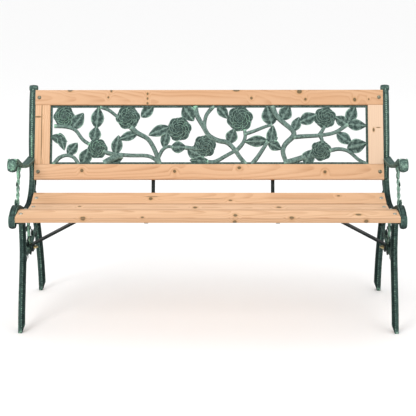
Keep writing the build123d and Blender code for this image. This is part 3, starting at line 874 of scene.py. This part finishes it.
rose_panel = joined("rose_panel_casting", parts)
slope = Vector((0, math.cos(BACK_TURN), math.sin(BACK_TURN)))
out = Vector((0, -math.sin(BACK_TURN), math.cos(BACK_TURN)))
rose_panel.rotation_euler = (BACK_TURN, 0, 0)
rose_panel.location = Vector(BACK_ORIGIN) + slope * PANEL_RISE - out * RAIL_THICK / 2
hand_over(settle(rose_panel), "rose_panel", panel_casting)

# %% [markdown]
# ## The end frames
# Each end of the bench is one casting: an upright, a seat rim that curls over at the front, an
# armrest with a barrel-shaped knob, two legs, and a vine that ties them together. The bars have
# raised rims, and two sunk channels with a bead between them. A bar is made by pulling a flat
# end face along its centre line, turning it and scaling it at every step.

# %% A cast bar
ARM_OUTER = 610 * MM
ARM_INNER = 583 * MM
FRAME_OUTER = 605 * MM
LEG_INNER = 583.5 * MM
REAR_LEG_INNER = 581 * MM
BAND_INNER = 585 * MM
VINE_X = 594 * MM
LEG_FACE = 9 * MM


def headings(line):
    """The direction of a line in the Y-Z plane at each of its points, in radians."""
    turns = []
    for index in range(len(line)):
        before, after = line[max(index - 1, 0)], line[min(index + 1, len(line) - 1)]
        turns.append(math.atan2(after[1] - before[1], after[0] - before[0]))
    return turns


def turn_about(angle, centre):
    """Turns what is selected about the X axis. With no window the operator turns backwards."""
    bpy.ops.transform.rotate(value=-angle, orient_axis="X", center_override=centre)


def cast_bar(line, inner, outer):
    """Pulls a flat face from inner to outer X along a line of (y, z, width) in metres."""
    middle = (inner + outer) / 2
    turns = headings(line)
    y, z, width = line[0]
    bpy.ops.mesh.primitive_plane_add(size=1, location=(middle, y, z),
                                     rotation=(turns[0] - math.pi / 2, 0, 0))
    bar = bpy.context.object
    bar.scale = (outer - inner, width, 1)
    settle(bar)
    with editing(bar):
        for before, here, old, new in zip(line, line[1:], turns, turns[1:]):
            step = (0, here[0] - before[0], here[1] - before[1])
            centre = (middle, here[0], here[1])
            bpy.ops.mesh.extrude_region_move(TRANSFORM_OT_translate={"value": step})
            turn_about((new - old + math.pi) % (2 * math.pi) - math.pi, centre)
            growth = here[2] / before[2]
            bpy.ops.transform.resize(value=(1, growth, growth), center_override=centre)
        bpy.ops.mesh.select_all(action="SELECT")
        bpy.ops.mesh.normals_make_consistent(inside=False)
    return bar


def line_of(points, widths, steps=4):
    """A smooth line of (y, z, width) in metres, from points and widths in mm."""
    return smooth_line([(y * MM, z * MM, w * MM) for (y, z), w in zip(points, widths)], steps)


def flute(bar, facing, rim, channel, depth):
    """Sinks two channels between raised rims along one side of a bar, with a bead between them."""
    with editing(bar):
        grid = bmesh.from_edit_mesh(bar.data)
        side = [face for face in grid.faces if face.normal.dot(Vector(facing)) > 0.55]
        broad = 0.3 * max(face.calc_area() for face in side)
        pick(bar, lambda face: face.normal.dot(Vector(facing)) > 0.55 and face.calc_area() > broad)
        bpy.ops.mesh.inset(thickness=rim, depth=-depth)
        bpy.ops.mesh.inset(thickness=channel, depth=0)
        bpy.ops.mesh.inset(thickness=1 * MM, depth=depth * 0.8)
    return bar


# %% [markdown]
# Down the front of the legs and the upright runs a row of small pearls. One pearl is modelled at
# the origin, an Array modifier repeats it along a curve, and a Curve modifier bends the row to
# follow it.

# %% A row of pearls
PEARL_PITCH = 7 * MM
PEARL_SIZE = 2.8 * MM
PEARL_SINK = 1 * MM


def pearl_row(line, x):
    """A row of pearls at one X along a line in the Y-Z plane."""
    path = curve_along([(x, place[0], place[1]) for place in line])
    bpy.ops.mesh.primitive_uv_sphere_add(segments=8, ring_count=5, radius=PEARL_SIZE)
    pearls = bpy.context.object
    pearls.scale = (1.05, 0.9, 0.9)
    settle(pearls)
    modify(pearls, "ARRAY", fit_type="FIT_CURVE", curve=path, use_relative_offset=False,
           use_constant_offset=True, constant_offset_displace=(PEARL_PITCH, 0, 0))
    modify(pearls, "CURVE", object=path, deform_axis="POS_X")
    bpy.ops.object.shade_smooth()
    bpy.data.objects.remove(path)
    return pearls


def shifted(line, inward):
    """A line moved across itself by inward(width), towards its front where that is negative."""
    moved = []
    for (y, z, width), turn in zip(line, headings(line)):
        step = inward(width) if math.sin(turn) > 0 else -inward(width)
        moved.append(Vector((y + step * math.sin(turn), z - step * math.cos(turn), width)))
    return moved


def front_band(line, depth):
    """The centre line of the front part of a bar, this deep."""
    moved = shifted(line, lambda width: (depth - width) / 2)
    return [Vector((y, z, depth)) for y, z, width in moved]


# %% Legs
SIDEWAYS = (1, 0, 0)
FORWARD = (0, -1, 0)
UPWARD = (0, 0, 1)


def leg(points, widths, inner):
    """A leg of L section: a web with sunk panel at the outer side, and a broad fluted face."""
    line = line_of(points, widths)
    web = flute(cast_bar(line, inner + 9 * MM, FRAME_OUTER - 1 * MM), SIDEWAYS, 4 * MM, 2.4 * MM, 2 * MM)
    front = front_band(line, LEG_FACE)
    face = flute(cast_bar(front, inner, FRAME_OUTER), FORWARD, 2.5 * MM, 4.0 * MM, 3 * MM)
    pearls = pearl_row(shifted(front, lambda width: PEARL_SINK - width / 2), (inner + FRAME_OUTER) / 2)
    return [soften(web, 1 * MM), soften(face, 0.9 * MM), pearls]


front_leg = leg(
    [(-72, 348), (-73, 300), (-82, 233), (-115, 150), (-152, 65), (-175, -5)],
    [32, 29, 27, 27, 25, 22], LEG_INNER)
rear_leg = leg(
    [(132, 392), (158, 330), (191, 258), (221, 170), (236, 90), (240, -5)],
    [28, 28, 27, 26, 23, 20], REAR_LEG_INNER)
print("legs", len(front_leg) + len(rear_leg), "parts")


# Each leg ends level with the ground, and the inner side of its foot is tapered
FOOT_INNER = 592.5 * MM
FOOT_TAPER = Vector((-30, 0, -11.5)).normalized()
for part in front_leg + rear_leg:
    trim(part, (0, 0, 0), (0, 0, -1))
    trim(part, (FOOT_INNER, 0, 0), FOOT_TAPER)

# %% Upright, seat rim and armrest
upright_line = line_of(
    [(242, 716), (223, 683), (198, 616), (172, 545), (162, 490), (158, 440), (143, 408)],
    [18, 26, 27, 26, 25, 26, 30])
upright = cast_bar(upright_line, BAND_INNER, FRAME_OUTER)
flute(upright, SIDEWAYS, 4 * MM, 2.4 * MM, 2.2 * MM)
flute(upright, FORWARD, 2.5 * MM, 3.6 * MM, 3 * MM)
upright_pearls = pearl_row([Vector((y - w / 2 * 0.97 + 1 * MM, z, w)) for y, z, w in upright_line],
                           (BAND_INNER + FRAME_OUTER) / 2)

seat_rim = cast_bar(line_of(
    [(152, 424), (122, 388), (84, 363), (44, 353), (-18, 355), (-94, 380), (-165, 405),
     (-210, 404), (-238, 392)],
    [26, 25, 24, 24, 24, 24, 25, 20, 12], steps=3), BAND_INNER, FRAME_OUTER)
flute(seat_rim, SIDEWAYS, 4 * MM, 2 * MM, 2.2 * MM)
flute(seat_rim, UPWARD, 3.4 * MM, 2 * MM, 1.8 * MM)

armrest = cast_bar(line_of(
    [(166, 494), (90, 496), (13, 501), (-60, 517), (-115, 539), (-155, 556), (-184, 561)],
    [12, 10, 10, 11, 12, 12, 11], steps=2), ARM_INNER, ARM_OUTER)
flute(armrest, UPWARD, 3.5 * MM, 3.5 * MM, 1.6 * MM)
bars = [soften(bar, 1 * MM) for bar in (upright, seat_rim, armrest)]
print("bars", [len(bar.data.polygons) for bar in bars])

# %% [markdown]
# The seat rim and the armrest end in scrolls. A scroll is the same cast bar, pulled along a
# spiral that narrows towards its middle, over a barrel with soft ends.

# %% Scrolls
SPIRAL_STEPS = 34


def spiral(y, z, radius, turns, start, band):
    """A line of (y, z, width) that winds in from a radius, in mm, starting at an angle in degrees."""
    line = []
    for step in range(SPIRAL_STEPS + 1):
        share = step / SPIRAL_STEPS
        angle = math.radians(start + 360 * turns * share)
        wide = band * (1 - 0.45 * share)
        out = (radius - band / 2) * (1 - share) + 4 * share
        line.append(Vector(((y + out * math.cos(angle)) * MM, (z + out * math.sin(angle)) * MM, wide * MM)))
    return line


def barrel(y, z, radius, inner, outer, crown):
    """A barrel across the bench, its middle fuller than its ends, with dished end faces."""
    bpy.ops.mesh.primitive_cylinder_add(vertices=32, radius=(radius - crown) * MM, depth=outer - inner,
                                        location=((inner + outer) / 2, y * MM, z * MM),
                                        rotation=(0, math.pi / 2, 0))
    body = settle(bpy.context.object)
    with editing(body):
        pick(body, lambda face: abs(face.normal.x) > 0.9)
        bpy.ops.mesh.inset(thickness=3 * MM, depth=0, use_individual=True)
        bpy.ops.mesh.inset(thickness=1.5 * MM, depth=-1.5 * MM, use_individual=True)
        pick(body, lambda face: abs(face.normal.x) < 0.1)
        bpy.ops.mesh.subdivide(number_cuts=3)
        middle = (inner + outer) / 2
        for share, swell in ((0, 1), (0.25, 0.75)):
            reach = (outer - inner) * share
            pick_points(body, lambda co: abs(abs(co.x - middle) - reach) < 0.5 * MM
                        and math.hypot(co.y - y * MM, co.z - z * MM) > (radius - crown - 0.5) * MM)
            growth = (radius - crown + crown * swell) / (radius - crown)
            bpy.ops.transform.resize(value=(1, growth, growth), center_override=(middle, y * MM, z * MM))
    return soften(body, 1.2 * MM)


seat_scroll = [
    barrel(-231, 381, 21.5, BAND_INNER + 1.5 * MM, FRAME_OUTER - 1.5 * MM, 2),
    soften(cast_bar(spiral(-231, 381, 24, 1.6, 70, 7), BAND_INNER, FRAME_OUTER), 1 * MM),
]
knob = [
    barrel(-182, 546, 21, ARM_INNER, ARM_OUTER, 5),
    soften(cast_bar(spiral(-182, 546, 17.5, 1.5, 80, 5), ARM_INNER, ARM_OUTER), 0.9 * MM),
]
cap = [barrel(244, 719, 11, 580 * MM, 608 * MM, 2)]
print("scrolls", len(seat_scroll + knob + cap))

# %% [markdown]
# The vine is the liveliest part of the end: two strands wound round each other prop the armrest,
# and under the seat more stems meet at the boss of the brace bolt. Most leaves lie in the plane of
# the end, and a few curl outward.

# %% Vine and its leaves
BRACE_NODE = (20.5, 225.5)


def vine(points, widths):
    """A twisted stem in the plane of the end, from points and widths in mm."""
    return stem([(VINE_X, y * MM, z * MM) for y, z in points], [w * 0.6 * MM for w in widths], twist=0.55)


def wound_pair(points, reach, thick, pitch):
    """Two strands wound round each other along a line in the plane of the end, in mm."""
    line = smooth_line([(VINE_X, y * MM, z * MM) for y, z in points], steps=6)
    strands = []
    for start in (0, math.pi):
        gone = 0
        coil = []
        for here, after in zip(line, line[1:] + line[-1:]):
            angle = start + 2 * math.pi * gone / (pitch * MM)
            swing = Vector((math.cos(angle), math.sin(angle), 0)) * reach * MM
            coil.append(tuple(here + swing))
            gone += (after - here).length
        strands.append(stem(coil, [thick / 2 * MM] * len(coil), twist=0.1))
    return strands


vines = [
    *wound_pair([(-86, 532), (-98, 504), (-122, 464), (-138, 425), (-142, 398)], 2.7, 6.5, 42),
    vine([(-93, 534), (-112, 512), (-112, 492), (-104, 480)], [7, 8, 7, 6]),
    vine([(44, 352), (32, 318), (24, 285), (24, 255), BRACE_NODE], [13, 10, 9, 10, 16]),
    vine([(14, 354), (20, 325), (25, 292), (25, 268)], [11, 9, 9, 8]),
    vine([(24, 226), (-16, 214), (-50, 222), (-88, 214)], [14, 11, 10, 14]),
    vine([(17, 226), (62, 224), (115, 244), (158, 250), (193, 250)], [14, 11, 10, 10, 13]),
]
# Leaves: foot, tip, width and how far they lean, in the plane of the end
END_LEAVES = [
    ((-140, 405), (-112, 428), 17, 0.5), ((-142, 402), (-172, 428), 15, -0.5),
    ((-122, 466), (-142, 484), 12, 0.4), ((22, 300), (-8, 288), 17, 0.5),
    ((26, 290), (56, 276), 17, -0.5), ((22, 262), (-2, 244), 18, 0.6), ((26, 258), (52, 246), 18, -0.6),
    ((16, 228), (-8, 254), 19, 0.5), ((26, 222), (40, 190), 19, -0.4), ((10, 220), (-6, 190), 17, 0.4),
    ((100, 238), (84, 270), 17, 0.4), ((130, 246), (150, 220), 17, -0.4), ((182, 250), (204, 284), 19, 0.3),
    ((-48, 222), (-30, 250), 15, 0.4), ((-60, 220), (-46, 194), 15, -0.4), ((190, 248), (212, 222), 15, 0.2),
]
# Leaves that are curled outward, with the turn in degrees
CURLED_LEAVES = [
    ((-143, 402), (-150, 432), 14, 50), ((-141, 404), (-138, 428), 12, -55),
    ((-90, 528), (-84, 508), 11, 60), ((24, 300), (16, 276), 15, 60), ((26, 246), (32, 222), 16, -60),
]


def end_leaf(foot, tip, width, lean):
    """A leaf of the vine. It is laid flat first and then turned up into the plane of the end."""
    leaf = leaf_copy(foot, tip, width, lift=0, lean=lean, depth=0.6)
    leaf.rotation_euler = (math.pi / 2, 0, math.pi / 2)
    leaf.location = (VINE_X + 1.5 * MM * math.copysign(1, lean), 0, 0)
    return settle(leaf)


def curled_leaf(foot, tip, width, turn):
    """A leaf of the vine that is turned about an upright line through its foot."""
    leaf = end_leaf(foot, tip, width, lean=0.2)
    only(leaf)
    bpy.ops.transform.rotate(value=-math.radians(turn), orient_axis="Z",
                             center_override=(VINE_X, foot[0] * MM, 0))
    return settle(leaf)


end_leaves = [end_leaf(*leaf) for leaf in END_LEAVES] + [curled_leaf(*leaf) for leaf in CURLED_LEAVES]
print("vine", len(vines), "stems and", len(end_leaves), "leaves")

# %% [markdown]
# The parts that hold the timber are plain: a ledge under each slat end, a cheek beside it, a
# boss behind each rail end, and the round boss that takes the brace bolt.

# %% Ledges and bosses
PAD_INNER = 557 * MM
PAD_OUTER = 591 * MM
PAD_THICK = 6 * MM


def block(x_low, x_high, place, tilt, length, low, high):
    """A block on a tilted plane at (y, z), reaching from low to high along the plane's normal."""
    middle = (low + high) / 2
    normal = Vector((0, -math.sin(tilt), math.cos(tilt)))
    where = Vector(((x_low + x_high) / 2, *place)) + normal * middle
    bpy.ops.mesh.primitive_cube_add(size=1, location=where, rotation=(tilt, 0, 0))
    made = bpy.context.object
    made.scale = (x_high - x_low, length, high - low)
    return soften(settle(made), 1.2 * MM)


ledges = []
for top, tilt in SLATS:
    ledges.append(block(PAD_INNER, PAD_OUTER, top, tilt, 54 * MM, -SLAT_THICK - PAD_THICK, -SLAT_THICK))
    ledges.append(block(BAND_INNER, PAD_OUTER, top, tilt, 54 * MM, -SLAT_THICK - PAD_THICK, -2 * MM))
for up, thick in ((0, 16 * MM), (UPPER_RAIL, 9 * MM)):
    ledges.append(block(PAD_INNER, PAD_OUTER, up_the_back(up), BACK_TURN, 40 * MM,
                        -RAIL_THICK - thick, -RAIL_THICK))

bpy.ops.mesh.primitive_cylinder_add(vertices=24, radius=12 * MM, depth=18 * MM,
                                    location=(LEG_INNER + 9 * MM, BRACE_NODE[0] * MM, BRACE_NODE[1] * MM),
                                    rotation=(0, math.pi / 2, 0))
brace_boss = soften(settle(bpy.context.object), 2 * MM)

# %% The two end castings
end_parts = [*front_leg, *rear_leg, *bars, upright_pearls, *seat_scroll, *knob, *cap, *vines,
             *ledges, brace_boss]
for part in end_parts:
    least, most = 0, 1
    if part in [seat_scroll[0], knob[0], *cap]:
        most = 0.35
    if part in [front_leg[2], rear_leg[2], upright_pearls]:
        least, most = 0.6, 0.95
    if part in [*vines, bars[2]]:
        least = 0.35
    # Painted light: the stems under the seat start at a high wear value, which makes them pale as if lit,
    # where the seat keeps light from them.
    if part in vines[3:]:
        least = 0.8
    wear_map(part, 0, least, most)
right_end = joined("right_end_casting", end_parts + end_leaves)
left_end = copy_of(right_end)
left_end.name = "left_end_casting"
left_end.scale = (-1, 1, 1)
with editing(settle(left_end)):
    bpy.ops.mesh.normals_make_consistent(inside=False)
hand_over(right_end, "right_end_frame", casting)
hand_over(left_end, "left_end_frame", casting)

# %% [markdown]
# ## Bars and fasteners
# The straps and braces are flat bars in nearly black green paint, a little scuffed, and their
# screws were painted with them. The domed bolts of the seat are bright zinc, with the faint
# cloudy crystals that plating leaves. Those of the back have weathered to a dull olive grey, and
# the two brace bolts are yellow zinc.

# %% Bar paint
FRESH_PAINT = (0.007, 0.013, 0.012)
SCUFFED_PAINT = (0.030, 0.050, 0.044)
bar_paint = Finish("bar_paint")
where = bar_paint.place()
scuff = bar_paint.noise(where, 60, detail=4, roughness=0.7)
speck = bar_paint.noise(where, 700, detail=2)
paint = bar_paint.mix(bar_paint.ease(scuff, 0.55, 0.75, 0, 0.6), FRESH_PAINT, SCUFFED_PAINT)
bar_paint.coat(base_color=paint, roughness=bar_paint.ease(speck, 0.3, 0.7, 0.48, 0.62),
               specular_ior_level=0.25, normal=bar_paint.bump(speck, 0.15 * MM))
dress(bar_paint, "left_support_strap", "right_support_strap", "left_brace", "right_brace",
      "strap_screws", "brace_screws")


# %% Plated steel
def plated(name, bright, dull):
    """Plated steel with cloudy crystals and dulled patches."""
    metal = Finish(name)
    where = metal.place()
    cells = metal.node("TexVoronoi", {"feature": "SMOOTH_F1"}, {"Vector": where, "Scale": 900})
    cloud = metal.noise(where, 240, detail=3)
    tint = metal.mix(metal.ease(cloud, 0.35, 0.65), bright, dull)
    metal.coat(base_color=tint, metallic=1.0, roughness=metal.ease(cells, 0, 0.6, 0.26, 0.42),
               normal=metal.bump(cloud, 0.1 * MM))
    return metal


zinc = plated("bright_zinc", (0.48, 0.47, 0.40), (0.26, 0.26, 0.22))
old_zinc = plated("weathered_zinc", (0.30, 0.29, 0.21), (0.13, 0.13, 0.10))
yellow_zinc = plated("yellow_zinc_plate", (0.72, 0.60, 0.30), (0.50, 0.42, 0.22))
dress(zinc, "seat_slat_bolts", "seat_slat_washers", "seat_slat_nuts")
dress(old_zinc, "back_rail_bolts", "back_rail_washers", "back_rail_nuts")
dress(yellow_zinc, "brace_bolts", "brace_washers", "brace_nuts")

# %% Put the models away
for model in (leaf_model, rose_model, stem_lobes):
    bpy.data.objects.remove(model)
